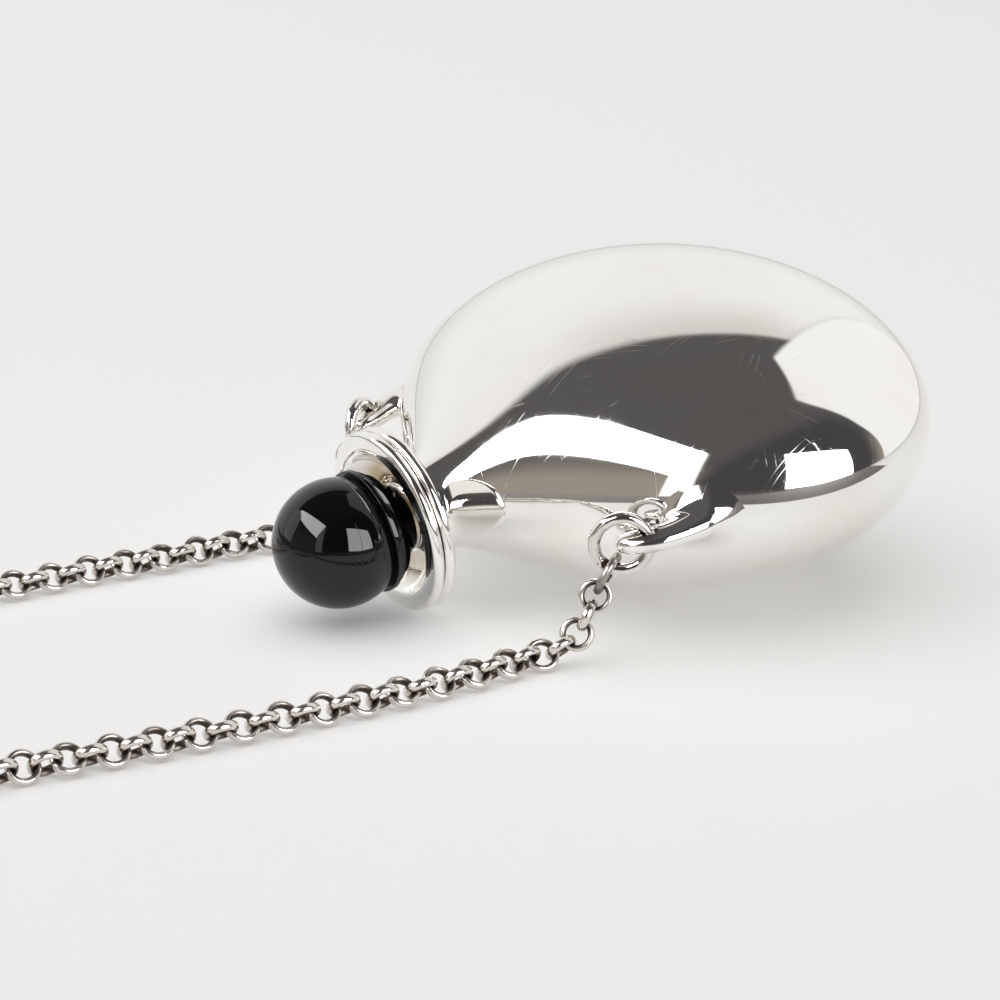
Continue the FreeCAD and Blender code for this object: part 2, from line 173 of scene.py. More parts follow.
def coil_turns(centre, turns):
    """The wound part of a route, in millimetres, clockwise and inwards."""
    points = []
    total = round((turns + 14 / 360) * COIL_POINTS)
    tucked = 2
    for step in range(total + 1):
        turn = step / COIL_POINTS
        tuck = max(0.0, 1 - (total - step) / tucked) ** 2 * TUCK
        radius = COIL_RADIUS - turn * COIL_STEP - tuck
        angle = math.radians(-90 - 360 * turn)
        points.append((centre[0] + radius * math.cos(angle), centre[1] + radius * math.sin(angle)))
    return points


NEAR_ROUTE = [
    (-15.60, -17.15), (-20.20, -17.90), (-27.20, -18.35), (-37.00, -18.30),
    (-46.00, -17.90), (-54.50, -17.05), (-61.40, -17.05),
]
FAR_ROUTE = [
    (-15.60, 17.15), (-19.60, 17.80), (-25.60, 17.45), (-32.20, 17.75),
    (-38.60, 17.62), (-45.40, 17.62),
]
NEAR_ROUTE += coil_turns((-71.0, -0.05), 2.72)
FAR_ROUTE += coil_turns((-55.0, 34.62), 2.96)


def route_line(name, route):
    """A mesh line of points read from the route's smooth curve."""
    data = bpy.data.curves.new(name, "CURVE")
    data.dimensions = "3D"
    spline = data.splines.new("NURBS")
    spline.points.add(len(route) - 1)
    for point, (x, y) in zip(spline.points, route):
        point.co = (x * MM, y * MM, REST_HEIGHT, 1.0)
    spline.order_u = 3
    spline.use_endpoint_u = True
    spline.resolution_u = 12
    curve = bpy.data.objects.new(name, data)
    scene.collection.objects.link(curve)
    bpy.context.view_layer.update()
    evaluated = curve.evaluated_get(bpy.context.evaluated_depsgraph_get())
    line = bpy.data.meshes.new_from_object(evaluated)
    bpy.data.objects.remove(curve)
    return line


def links_tree():
    """Geometry Nodes that hang closed links along a line of points."""
    tree = bpy.data.node_groups.new("links_along_line", "GeometryNodeTree")
    interface = tree.interface
    interface.new_socket("Line", in_out="INPUT", socket_type="NodeSocketGeometry")
    for name, kind, value in (
            ("Links", "NodeSocketInt", 5),
            ("Fine links", "NodeSocketInt", 5),
            ("Link radius", "NodeSocketFloat", LINK_RADIUS),
            ("Wire across", "NodeSocketFloat", LINK_WIRE),
            ("Wire along", "NodeSocketFloat", 0.70 * MM),
            ("Face", "NodeSocketVector", (0, 0, 1)),
            ("Lean", "NodeSocketFloat", 0.0),
            ("Wobble", "NodeSocketFloat", 0.0),
            ("Seed", "NodeSocketInt", 1),
            ("Silver", "NodeSocketMaterial", None)):
        socket = interface.new_socket(name, in_out="INPUT", socket_type=kind)
        if value is not None:
            socket.default_value = value
    interface.new_socket("Chain", in_out="OUTPUT", socket_type="NodeSocketGeometry")
    given = tree.nodes.new("NodeGroupInput")
    made = tree.nodes.new("NodeGroupOutput")
    link = tree.links.new

    def maths(operation, *values):
        node = add_node(tree, "ShaderNodeMath", operation=operation)
        for socket, value in zip(node.inputs, values):
            if isinstance(value, (int, float)):
                socket.default_value = value
            else:
                link(value, socket)
        return node.outputs[0]

    def one_link(around, across):
        """A single link about its own middle, with its tarnish and painted shade on it."""
        circle = add_node(tree, "GeometryNodeCurvePrimitiveCircle", inputs={"Resolution": around})
        link(given.outputs["Link radius"], circle.inputs["Radius"])
        section = add_node(
            tree, "GeometryNodeCurvePrimitiveCircle",
            inputs={"Resolution": across, "Radius": 0.5})
        size = add_node(tree, "ShaderNodeCombineXYZ", inputs={"Z": 1.0})
        link(given.outputs["Wire across"], size.inputs["X"])
        link(given.outputs["Wire along"], size.inputs["Y"])
        oval = add_node(tree, "GeometryNodeTransform")
        link(section.outputs["Curve"], oval.inputs["Geometry"])
        link(size.outputs["Vector"], oval.inputs["Scale"])
        solid = add_node(tree, "GeometryNodeCurveToMesh")
        link(circle.outputs["Curve"], solid.inputs["Curve"])
        link(oval.outputs["Geometry"], solid.inputs["Profile Curve"])
        smooth = add_node(tree, "GeometryNodeSetShadeSmooth")
        link(solid.outputs["Mesh"], smooth.inputs["Geometry"])
        place = add_node(tree, "GeometryNodeInputPosition")
        parts = add_node(tree, "ShaderNodeSeparateXYZ")
        link(place.outputs["Position"], parts.inputs["Vector"])
        reach = maths("SQRT", maths(
            "ADD",
            maths("MULTIPLY", parts.outputs["X"], parts.outputs["X"]),
            maths("MULTIPLY", parts.outputs["Y"], parts.outputs["Y"])))
        # Painted shade with tarnish: dark inside the link, most at its ends where neighbours
        # touch.
        inner = add_node(
            tree, "ShaderNodeMapRange", interpolation_type="SMOOTHSTEP",
            inputs={"From Min": 1.16, "From Max": 0.78})
        link(maths("DIVIDE", reach, given.outputs["Link radius"]), inner.inputs["Value"])
        ends = add_node(
            tree, "ShaderNodeMapRange", interpolation_type="SMOOTHSTEP",
            inputs={"From Min": 0.35, "From Max": 0.95, "To Min": 0.55})
        link(maths("DIVIDE", maths("ABSOLUTE", parts.outputs["X"]), reach), ends.inputs["Value"])
        store = add_node(
            tree, "GeometryNodeStoreNamedAttribute", data_type="FLOAT", domain="POINT",
            inputs={"Name": "tarnish_and_shade"})
        link(smooth.outputs["Geometry"], store.inputs["Geometry"])
        value = [s for s in store.inputs if s.name == "Value" and s.enabled][0]
        link(maths("MULTIPLY", inner.outputs["Result"], ends.outputs["Result"]), value)
        return store.outputs["Geometry"]

    line = add_node(tree, "GeometryNodeMeshToCurve")
    link(given.outputs["Line"], line.inputs["Mesh"])
    middles = add_node(tree, "GeometryNodeResampleCurve", mode="COUNT")
    link(line.outputs["Curve"], middles.inputs["Curve"])
    link(given.outputs["Links"], middles.inputs["Count"])
    heading = add_node(tree, "GeometryNodeInputTangent")
    frame_of_link = add_node(
        tree, "FunctionNodeAxesToRotation", primary_axis="X", secondary_axis="Z")
    link(heading.outputs["Tangent"], frame_of_link.inputs["Primary Axis"])
    link(given.outputs["Face"], frame_of_link.inputs["Secondary Axis"])
    number = add_node(tree, "GeometryNodeInputIndex")
    odd = maths("MODULO", number.outputs["Index"], 2.0)
    uneven = add_node(tree, "FunctionNodeRandomValue", data_type="FLOAT")
    low = [s for s in uneven.inputs if s.name == "Min" and s.enabled][0]
    high = [s for s in uneven.inputs if s.name == "Max" and s.enabled][0]
    low.default_value = -1.0
    high.default_value = 1.0
    link(given.outputs["Seed"], uneven.inputs["Seed"])
    jitter = [s for s in uneven.outputs if s.enabled][0]
    lean = maths("SUBTRACT", given.outputs["Lean"], maths("MULTIPLY", odd, math.pi / 2))
    lean = maths("ADD", lean, maths("MULTIPLY", jitter, given.outputs["Wobble"]))
    turn = add_node(tree, "FunctionNodeAxisAngleToRotation", inputs={"Axis": (1, 0, 0)})
    link(lean, turn.inputs["Angle"])
    leaning = add_node(tree, "FunctionNodeRotateRotation", rotation_space="LOCAL")
    link(frame_of_link.outputs["Rotation"], leaning.inputs["Rotation"])
    link(turn.outputs["Rotation"], leaning.inputs["Rotate By"])
    is_fine = add_node(tree, "FunctionNodeCompare", data_type="INT", operation="LESS_THAN")
    whole = [s for s in is_fine.inputs if s.enabled]
    link(number.outputs["Index"], whole[0])
    link(given.outputs["Fine links"], whole[1])
    is_plain = add_node(tree, "FunctionNodeBooleanMath", operation="NOT")
    link(is_fine.outputs["Result"], is_plain.inputs[0])
    joined = add_node(tree, "GeometryNodeJoinGeometry")
    for chosen, around, across in (
            (is_fine.outputs["Result"], 32, 12),
            (is_plain.outputs["Boolean"], 14, 6)):
        copies = add_node(tree, "GeometryNodeInstanceOnPoints")
        link(middles.outputs["Curve"], copies.inputs["Points"])
        link(chosen, copies.inputs["Selection"])
        link(one_link(around, across), copies.inputs["Instance"])
        link(leaning.outputs["Rotation"], copies.inputs["Rotation"])
        link(copies.outputs["Instances"], joined.inputs["Geometry"])
    solid = add_node(tree, "GeometryNodeRealizeInstances")
    link(joined.outputs["Geometry"], solid.inputs["Geometry"])
    finish = add_node(tree, "GeometryNodeSetMaterial")
    link(solid.outputs["Geometry"], finish.inputs["Geometry"])
    link(given.outputs["Silver"], finish.inputs["Material"])
    link(finish.outputs["Geometry"], made.inputs["Chain"])
    return tree


LINKS = links_tree()


def chain_links(name, line, **sizes):
    """A plain mesh of links along a mesh line."""
    maker = bpy.data.objects.new(name + "_line", line)
    scene.collection.objects.link(maker)
    modifier = maker.modifiers.new("links", "NODES")
    modifier.node_group = LINKS
    sockets = {s.name: s.identifier for s in LINKS.interface.items_tree if s.in_out == "INPUT"}
    sizes["Silver"] = CHAIN_SILVER
    for socket, value in sizes.items():
        modifier[sockets[socket.replace("_", " ")]] = value
    bpy.context.view_layer.update()
    evaluated = maker.evaluated_get(bpy.context.evaluated_depsgraph_get())
    mesh = bpy.data.meshes.new_from_object(evaluated)
    maker.modifiers.clear()
    bpy.data.objects.remove(maker)
    chain = bpy.data.objects.new(name, mesh)
    scene.collection.objects.link(chain)
    return chain


def line_length(points):
    return sum((b - a).length for a, b in zip(points, points[1:]))


CHAINS = {}
for side, route, fine in (("near", NEAR_ROUTE, 34), ("far", FAR_ROUTE, 24)):
    line = route_line(side + "_route", route)
    path = [v.co.copy() for v in line.vertices]
    length = line_length(path)
    chain = chain_links(
        side + "_chain_links", line,
        Links=round(length / PITCH) + 1, Fine_links=fine, Lean=math.radians(45),
        Wobble=math.radians(9), Seed=3)
    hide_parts(side + "_chain", side + "_coil")
    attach(chain, "flask_and_chain")
    CHAINS[side] = chain, path, length


# --- Hanging links ------------------------------------------------------------
# The first few links of each side hang from the connector ring and come down
# on to the table in a slack curve.

FLASK_TILT = 11.5
LIP_X = -16.9415
LIP_HEIGHT = 6.8768
tilted = Matrix.Rotation(math.radians(-FLASK_TILT), 4, "Y")
ON_FLASK = Matrix.Translation((LIP_X, 0, LIP_HEIGHT)) @ tilted
EYE = Vector((10.69, -19.32, 0))
RING_HEADING = Vector((-0.837, 0.547, 0))
RING_RADIUS = 1.99
RING_HANG = math.radians(58)
FIRST_HANG = Vector((-0.65, -0.07, -0.757))
CONNECTOR_RADIUS = 1.4
CONNECTOR_WIRE = 0.3
DROP = [(-0.60, -0.06, -0.80), (-0.45, 0.03, -0.89), (-0.50, 0.10, -0.86),
        (-0.80, 0.15, -0.56), (-0.96, 0.12, -0.24)]
HANGING_PITCH = 1.52
FACE = Vector((-0.35, -0.72, 0.60))

spoke = RING_HEADING * math.cos(RING_HANG) - Vector((0, 0, math.sin(RING_HANG)))
hook = ON_FLASK @ (EYE + (RING_HEADING + spoke) * RING_RADIUS)
connector_middle = hook + FIRST_HANG.normalized() * 0.5
first_step = CONNECTOR_RADIUS - CONNECTOR_WIRE + (CHAIN_WIDTH / 2 - LINK_WIRE) / MM - 0.08
middles = []
middle = connector_middle
for index, step in enumerate(DROP):
    middle = middle + Vector(step).normalized() * (HANGING_PITCH if index else first_step)
    middles.append(middle)


def mirrored(point, side):
    return Vector((point[0], point[1] * (1 if side == "near" else -1), point[2]))


for side in ("near", "far"):
    line = bpy.data.meshes.new(side + "_drop")
    points = [mirrored(p, side) * MM for p in middles]
    line.from_pydata(points, [(i, i + 1) for i in range(len(points) - 1)], [])
    hanging = chain_links(
        side + "_hanging_links", line,
        Links=len(points), Fine_links=len(points), Face=mirrored(FACE, side), Seed=5)
    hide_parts(*[f"{side}_link_{number}" for number in range(1, 6)])
    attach(hanging, "flask_and_chain")


# --- Polished silver ------------------------------------------------------------
# Sterling silver, raised and buffed to a mirror: slightly uneven by hand, with
# fine hairline scratches from wear. Where asked it takes a yellow tint and a dark tint;
# both are partly tarnish and partly painted shade.

SCRATCH_ROUGHNESS = 0.17
SCRATCH_DEPTH = 0.000004         # metres
SCRATCH_BUMP = 0.35


def polished_silver(name, yellowing_and_shade=0.0, tarnish_and_shade=0.0, hammered=0.0):
    material, tree, shader = new_material(name)
    clouds = spread(tree, noise(tree, 90.0, 4.0), 0.42, 0.72)
    colour = blend_colours(tree, clouds, (0.945, 0.935, 0.915), (0.90, 0.875, 0.83))
    # Yellow tint: tarnish, painted darker where the mark is high as painted reflection and shade.
    if yellowing_and_shade:
        deep = add_node(tree, "ShaderNodeAttribute", attribute_name="yellowing_and_shade").outputs["Fac"]
        patchy = spread(tree, noise(tree, 260.0, 4.0, 0.6), 0.3, 0.65, 0.45, 1.0)
        amount = combine(tree, "MULTIPLY", combine(tree, "MULTIPLY", deep, patchy), yellowing_and_shade)
        colour = blend_colours(tree, amount, colour, (0.42, 0.32, 0.20))
    # Dark tint: tarnish plus painted shade in hollows and where parts touch.
    if tarnish_and_shade:
        tarnish_and_shade_mask = add_node(tree, "ShaderNodeAttribute", attribute_name="tarnish_and_shade").outputs["Fac"]
        patches = spread(tree, noise(tree, 700.0, 4.0, 0.6), 0.3, 0.7, 0.35, 1.0)
        amount = combine(tree, "MULTIPLY", combine(tree, "MULTIPLY", tarnish_and_shade_mask, patches), tarnish_and_shade)
        colour = blend_colours(tree, amount, colour, (0.17, 0.135, 0.105))
    tree.links.new(colour, shader.inputs["Base Color"])
    shader.inputs["Metallic"].default_value = 1.0

    lines = None
    for turn, scale in (
            ((0.3, 0.2, 0.9), 34.0), ((-0.2, 0.3, 2.2), 40.0), ((0.2, -0.3, 0.1), 30.0),
            ((0.1, 0.4, 1.5), 46.0), ((-0.3, 0.1, 2.8), 38.0)):
        streak = noise(tree, scale, 0.0, 0.5, stretch=(1.0, 30, 0.6), turn=turn)
        away = combine(tree, "ABSOLUTE", combine(tree, "SUBTRACT", streak, 0.5), 0.0)
        fine = spread(tree, away, 0.0, 0.005, 1.0, 0.0)
        patch = spread(tree, noise(tree, scale * 6, 2.0, 0.6, turn=turn), 0.50, 0.72)
        fine = combine(tree, "MULTIPLY", fine, patch)
        lines = fine if lines is None else combine(tree, "MAXIMUM", lines, fine)
    haze = spread(tree, noise(tree, 160.0, 5.0, 0.65), 0.35, 0.75, 0.03, 0.075)
    rough = combine(tree, "MULTIPLY_ADD", lines, SCRATCH_ROUGHNESS)
    tree.links.new(haze, rough.node.inputs[2])
    tree.links.new(rough, shader.inputs["Roughness"])
    wavy = bump(tree, noise(tree, 75.0, 1.0, 0.4), 0.00012, 0.35)
    if hammered:
        wavy = bump(tree, noise(tree, 900.0, 2.0, 0.5), 0.00012, hammered, under=wavy)
    scored = bump(tree, lines, SCRATCH_DEPTH, SCRATCH_BUMP, under=wavy)
    tree.links.new(scored, shader.inputs["Normal"])
    return material


BODY_SILVER = polished_silver("polished_silver")


# --- Jump rings and connector rings ---------------------------------------------
# Soldered rings of round silver wire. A heavy one sways in each lug's eye, and
# a finer one joins it to the chain. They are bright outside and painted dark inside
# and where neighbours rub: tarnish plus painted shade.


def wire_ring(name, middle, normal, radius, wire, rubs, material, around=72, across=20):
    """A closed ring in millimetres; dark inside and where neighbours rub: tarnish and painted
    shade.
    """
    normal = normal.normalized()
    side_on = normal.orthogonal().normalized()
    third = normal.cross(side_on)
    vertices = []
    faces = []
    dark = []
    for i in range(around):
        angle = 2 * math.pi * i / around
        spoke = side_on * math.cos(angle) + third * math.sin(angle)
        rub = max([0.0] + [spoke.dot((r - middle).normalized()) for r in rubs])
        thick = wire * (1 + 0.025 * math.sin(5 * angle + 1.0) + 0.02 * math.sin(11 * angle))
        for k in range(across):
            turn = 2 * math.pi * k / across
            out = spoke * math.cos(turn) + normal * math.sin(turn)
            vertices.append((middle + spoke * radius + out * thick) * MM)
            # Painted shade with tarnish: darker on the wire's inner side and where neighbours rub.
            inside = max(0.0, -math.cos(turn))
            dark.append(min(1.0, 0.32 + inside * (0.55 + 0.9 * rub ** 3) + 0.3 * rub ** 6))
            a, b = i * across, (i + 1) % around * across
            after = (k + 1) % across
            faces.append((a + k, b + k, b + after, a + after))
    mesh = bpy.data.meshes.new(name)
    mesh.from_pydata(vertices, [], faces)
    mesh.attributes.new("tarnish_and_shade", "FLOAT", "POINT").data.foreach_set("value", dark)
    mesh.polygons.foreach_set("use_smooth", [True] * len(mesh.polygons))
    mesh.materials.append(material)
    ring = bpy.data.objects.new(name, mesh)
    scene.collection.objects.link(ring)
    return ring


RING_SILVER = polished_silver("ring_silver", tarnish_and_shade=0.85, hammered=0.6)
JUMP_WIRE = 0.46
turned_flask = ON_FLASK.to_3x3()
for side in ("near", "far"):
    eye = mirrored(ON_FLASK @ EYE, side)
    heading = mirrored(turned_flask @ RING_HEADING, side)
    across_ring = mirrored(turned_flask @ Vector((0, 0, 1)).cross(RING_HEADING), side)
    jump_ring = wire_ring(
        side + "_jump_ring_wire", eye + heading * RING_RADIUS, across_ring,
        RING_RADIUS, JUMP_WIRE, [eye, mirrored(hook, side)], RING_SILVER)
    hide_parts(side + "_jump_ring")
    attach(jump_ring, side + "_ring")
    connector = wire_ring(
        side + "_connector_wire", mirrored(connector_middle, side),
        mirrored(FIRST_HANG.cross(FACE), side), CONNECTOR_RADIUS, CONNECTOR_WIRE,
        [mirrored(hook, side), mirrored(middles[0], side)], CHAIN_SILVER, 56, 16)
    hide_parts(side + "_connector_link")
    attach(connector, side + "_connector")


# --- Clasp and end ring ------------------------------------------------------------
# A bought spring-ring clasp: a bent tube with a sprung bolt, pulled back by its
# little knob. Soldered links join it and the plain end ring to the chain.


def buffed_copy(node, material, body):
    """A factory-made CAD piece, merged and smoothed where it is round."""
    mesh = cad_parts[node].data.copy()
    work = bmesh.new()
    work.from_mesh(mesh)
    bmesh.ops.remove_doubles(work, verts=work.verts, dist=0.002 * MM)
    work.to_mesh(mesh)
    work.free()
    mesh.polygons.foreach_set("use_smooth", [True] * len(mesh.polygons))
    mesh.set_sharp_from_angle(angle=math.radians(35))
    dulled = mesh.attributes.new("tarnish_and_shade", "FLOAT", "POINT")
    dulled.data.foreach_set("value", [0.22] * len(mesh.vertices))
    mesh.materials.clear()
    mesh.materials.append(material)
    piece = bpy.data.objects.new(node + "_buffed", mesh)
    scene.collection.objects.link(piece)
    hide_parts(node)
    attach(piece, body)
    return piece


ON_CHAIN_END = {
    "near": [
        buffed_copy("clasp_case", CHAIN_SILVER, "flask_and_chain"),
        buffed_copy("clasp_bolt", CHAIN_SILVER, "clasp_trigger"),
        buffed_copy("clasp_knob", CHAIN_SILVER, "clasp_trigger"),
        buffed_copy("clasp_eye", CHAIN_SILVER, "flask_and_chain"),
        buffed_copy("clasp_link", CHAIN_SILVER, "flask_and_chain"),
    ],
    "far": [
        buffed_copy("end_link", CHAIN_SILVER, "flask_and_chain"),
        buffed_copy("end_ring", CHAIN_SILVER, "flask_and_chain"),
    ],
}
spring_wire, spring_tree, spring_shader = new_material("spring_steel")
spring_shader.inputs["Base Color"].default_value = (0.55, 0.55, 0.55, 1)
spring_shader.inputs["Metallic"].default_value = 1.0
drawn = spread(spring_tree, noise(spring_tree, 3000.0), 0.3, 0.7, 0.25, 0.45)
spring_tree.links.new(drawn, spring_shader.inputs["Roughness"])


def refinish(node, material):
    """A CAD node keeps its shape and takes a finish."""
    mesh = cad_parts[node].data
    mesh.materials.clear()
    mesh.materials.append(material)


refinish("clasp_spring", spring_wire)

for side, far_end in (("near", "connector"), ("far", "fitting")):
    chain, path, length = CHAINS[side]


# --- Flask body -------------------------------------------------------------------
# Two raised silver shells, soldered round the edge and polished until the seam
# is gone: a flattened egg that flares out of a short neck.

BODY_HALF = Vector((18.2, 24.4, 11.6))
BODY_BACK = 25.3573
NECK_RADIUS = 3.3
NECK_START = 3.1
FLARE_END = 14.0
WIDE_BEND = 1.9                  # how sharply the flare leaves the neck
THICK_BEND = 1.28


def place_on_flask(name, vertices, faces, material, smooth=True):
    """A mesh given in millimetres on the flask's own axes, put in its place."""
    mesh = bpy.data.meshes.new(name)
    mesh.from_pydata([(ON_FLASK @ Vector(v)) * MM for v in vertices], [], faces)
    mesh.polygons.foreach_set("use_smooth", [smooth] * len(mesh.polygons))
    mesh.materials.append(material)
    piece = bpy.data.objects.new(name, mesh)
    scene.collection.objects.link(piece)
    return piece


def rings_to_faces(rings, around, closed_start, closed_end):
    """Faces between equal rings of points, with a fan to a pole where asked."""
    faces = []
    for ring in range(rings - 1):
        for k in range(around):
            after = (k + 1) % around
            a, b = ring * around + k, ring * around + after
            faces.append((a, a + around, b + around, b))
    pole = rings * around
    if closed_start:
        faces += [(pole, k, (k + 1) % around) for k in range(around)]
        pole += 1
    if closed_end:
        last = (rings - 1) * around
        faces += [(pole, last + (k + 1) % around, last + k) for k in range(around)]
    return faces


def flare(neck, half, neck_bend):
    """The flare from the neck to the egg: its radius at t from 0 to 1."""
    along = (BODY_BACK - FLARE_END) / BODY_HALF.x
    shrink = math.sqrt(1 - along ** 2)
    run = FLARE_END - NECK_START
    end = half * shrink
    slope = half * along / BODY_HALF.x / shrink * run
    bend = -half / BODY_HALF.x ** 2 / shrink ** 3 * run ** 2
    first_bend = neck_bend * (6 * (end - neck) - 2 * slope)

    def radius(t):
        hermite = [
            1 - 10 * t ** 3 + 15 * t ** 4 - 6 * t ** 5,
            10 * t ** 3 - 15 * t ** 4 + 6 * t ** 5,
            -4 * t ** 3 + 7 * t ** 4 - 3 * t ** 5,
            0.5 * t ** 3 - t ** 4 + 0.5 * t ** 5,
            0.5 * t ** 2 - 1.5 * t ** 3 + 1.5 * t ** 4 - 0.5 * t ** 5,
        ]
        parts = (neck, end, slope, bend, first_bend)
        return sum(part * weight for part, weight in zip(parts, hermite))

    return radius


def flask_body():
    around = 192
    flare_steps = 30
    egg_steps = 90
    wide = flare(NECK_RADIUS, BODY_HALF.y, WIDE_BEND)
    thick = flare(NECK_RADIUS, BODY_HALF.z, THICK_BEND)
    rings = [(NECK_START - back, NECK_RADIUS, NECK_RADIUS) for back in (1.0, 0.6, 0.3)]
    for step in range(flare_steps):
        t = step / flare_steps
        x = NECK_START + (FLARE_END - NECK_START) * t
        rings.append((x, wide(t), thick(t)))
    start = math.acos((BODY_BACK - FLARE_END) / BODY_HALF.x)
    for step in range(egg_steps):
        angle = start + (math.pi - start) * step / egg_steps
        x = BODY_BACK - BODY_HALF.x * math.cos(angle)
        rings.append((x, BODY_HALF.y * math.sin(angle), BODY_HALF.z * math.sin(angle)))
    vertices = []
    for x, width, thickness in rings:
        for k in range(around):
            angle = 2 * math.pi * k / around
            vertices.append((x, width * math.cos(angle), thickness * math.sin(angle)))
    vertices.append((BODY_BACK + BODY_HALF.x, 0, 0))
    faces = rings_to_faces(len(rings), around, False, True)
    return place_on_flask("flask_body", vertices, faces, BODY_SILVER)


body = flask_body()
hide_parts("shell_upper", "shell_lower")
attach(body, "flask_and_chain")


# --- Mouth --------------------------------------------------------------------------
# A spun silver lip soldered over the neck: a shallow bowl tinted yellow-brown, deepest
# towards the stopper as tarnish plus painted reflection and shade, a pale flat rim,
# and two round beads with a groove between painted dark as tarnish plus painted shade.


def arc_between(first, through, last, steps):
    """Points on the arc through three points, without the last one."""
    (ax, ay), (bx, by), (cx, cy) = first, through, last
    d = 2 * (ax * (by - cy) + bx * (cy - ay) + cx * (ay - by))
    a2, b2, c2 = ax * ax + ay * ay, bx * bx + by * by, cx * cx + cy * cy
    ux = (a2 * (by - cy) + b2 * (cy - ay) + c2 * (ay - by)) / d
    uy = (a2 * (cx - bx) + b2 * (ax - cx) + c2 * (bx - ax)) / d
    radius = math.hypot(ax - ux, ay - uy)
    start = math.atan2(ay - uy, ax - ux)
    middle = (math.atan2(by - uy, bx - ux) - start) % (2 * math.pi)
    sweep = (math.atan2(cy - uy, cx - ux) - start) % (2 * math.pi)
    if middle > sweep:
        sweep -= 2 * math.pi
    angles = [start + sweep * step / steps for step in range(steps)]
    return [(ux + radius * math.cos(a), uy + radius * math.sin(a)) for a in angles]


def turned_piece(name, profile, material, around=128, marks=()):
    """A closed turned piece about the flask's axis; profile is a loop of (x, radius)."""
    vertices = []
    values = {mark: [] for mark, rule in marks}
    for x, radius in profile:
        for k in range(around):
            angle = 2 * math.pi * k / around
            vertices.append((x, radius * math.cos(angle), radius * math.sin(angle)))
            for mark, rule in marks:
                values[mark].append(rule(x, radius))
    faces = []
    for ring in range(len(profile)):
        after_ring = (ring + 1) % len(profile)
        for k in range(around):
            after = (k + 1) % around
            faces.append((
                ring * around + k, after_ring * around + k,
                after_ring * around + after, ring * around + after))
    piece = place_on_flask(name, vertices, faces, material)
    for mark in values:
        layer = piece.data.attributes.new(mark, "FLOAT", "POINT")
        layer.data.foreach_set("value", values[mark])
    work = bmesh.new()
    work.from_mesh(piece.data)
    bmesh.ops.remove_doubles(work, verts=work.verts, dist=0.001 * MM)
    bmesh.ops.recalc_face_normals(work, faces=work.faces)
    work.to_mesh(piece.data)
    work.free()
    piece.data.set_sharp_from_angle(angle=math.radians(38))
    return piece


BEAD = 0.45
CREST = 6.65
LIP_SILVER = polished_silver("lip_silver", yellowing_and_shade=1.0, tarnish_and_shade=0.9)
lip_profile = (
    arc_between((1.55, 2.9), (1.096, 4.70), (0.14, 5.45), 14)
    + [(0.14, 5.45), (0.05, 5.53), (0.0, 5.66), (0.0, 6.2)]
    + arc_between((0.0, CREST), (BEAD, CREST + BEAD), (2 * BEAD, CREST), 16)
    + [(0.92, CREST - 0.12), (0.98, CREST - 0.12)]
    + arc_between((1.0, CREST), (1.0 + BEAD, CREST + BEAD), (1.9, CREST), 16)
    + [(1.9, CREST), (1.9, 5.4)]
    + arc_between((1.9, 4.3), (2.25, 3.40), (3.1, NECK_RADIUS), 10)
    + [(3.1, NECK_RADIUS), (3.1, 2.75), (1.55, 2.75)]
)
lip = turned_piece(
    "mouth_lip_spun", lip_profile, LIP_SILVER, marks=(
        # Yellow tarnish, painted darker deeper in the bowl as the stopper's reflection and shade.
        ("yellowing_and_shade", lambda x, r: max(0.0, min(1.0, (5.3 - r) / 1.2)) if x < 1.6 else 0.0),
        # Painted shade with tarnish: the groove between the two beads is painted dark.
        ("tarnish_and_shade", lambda x, r: 1.0 if 0.9 < x < 1.0 and r < CREST else 0.0)))
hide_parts("mouth_lip")
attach(lip, "flask_and_chain")
refinish("neck_tube", BODY_SILVER)


# --- Stopper ---------------------------------------------------------------------------
# A polished black onyx ball on a stepped onyx collar, pinned and glued to a
# silver plug. A soft sleeve on the plug grips the neck.


def polished_onyx():
    material, tree, shader = new_material("black_onyx")
    cloud = spread(tree, noise(tree, 120.0, 4.0), 0.35, 0.75)
    tree.links.new(
        blend_colours(tree, cloud, (0.0015, 0.0015, 0.002), (0.004, 0.004, 0.0045)),
        shader.inputs["Base Color"])
    smear = spread(tree, noise(tree, 240.0, 5.0, 0.65), 0.45, 0.8, 0.015, 0.06)
    tree.links.new(smear, shader.inputs["Roughness"])
    shader.inputs["IOR"].default_value = 1.46
    ripple = noise(tree, 120.0, 1.0)
    tree.links.new(bump(tree, ripple, 0.00003, 0.25), shader.inputs["Normal"])
    return material


ONYX = polished_onyx()
BALL_RADIUS = 4.88
BALL_MIDDLE = -4.03
half_circle = [
    (BALL_MIDDLE - BALL_RADIUS * math.cos(math.pi * step / 72),
     BALL_RADIUS * math.sin(math.pi * step / 72)) for step in range(1, 72)]
ball = turned_piece(
    "stopper_ball_polished",
    [(BALL_MIDDLE - BALL_RADIUS, 0.0)] + half_circle + [(BALL_MIDDLE + BALL_RADIUS, 0.0)], ONYX)


def eased_corners(points, radius):
    """The same loop of points with each corner taken off by a small round."""
    loop = []
    for before, corner, after in zip(points[-1:] + points[:-1], points, points[1:] + points[:1]):
        here = Vector(corner)
        to_before = Vector(before) - here
        to_after = Vector(after) - here
        first = here + to_before.normalized() * min(radius, to_before.length * 0.4)
        last = here + to_after.normalized() * min(radius, to_after.length * 0.4)
        for step in range(5):
            t = step / 4
            point = first.lerp(here, t).lerp(here.lerp(last, t), t)
            loop.append((point.x, point.y))
    return loop


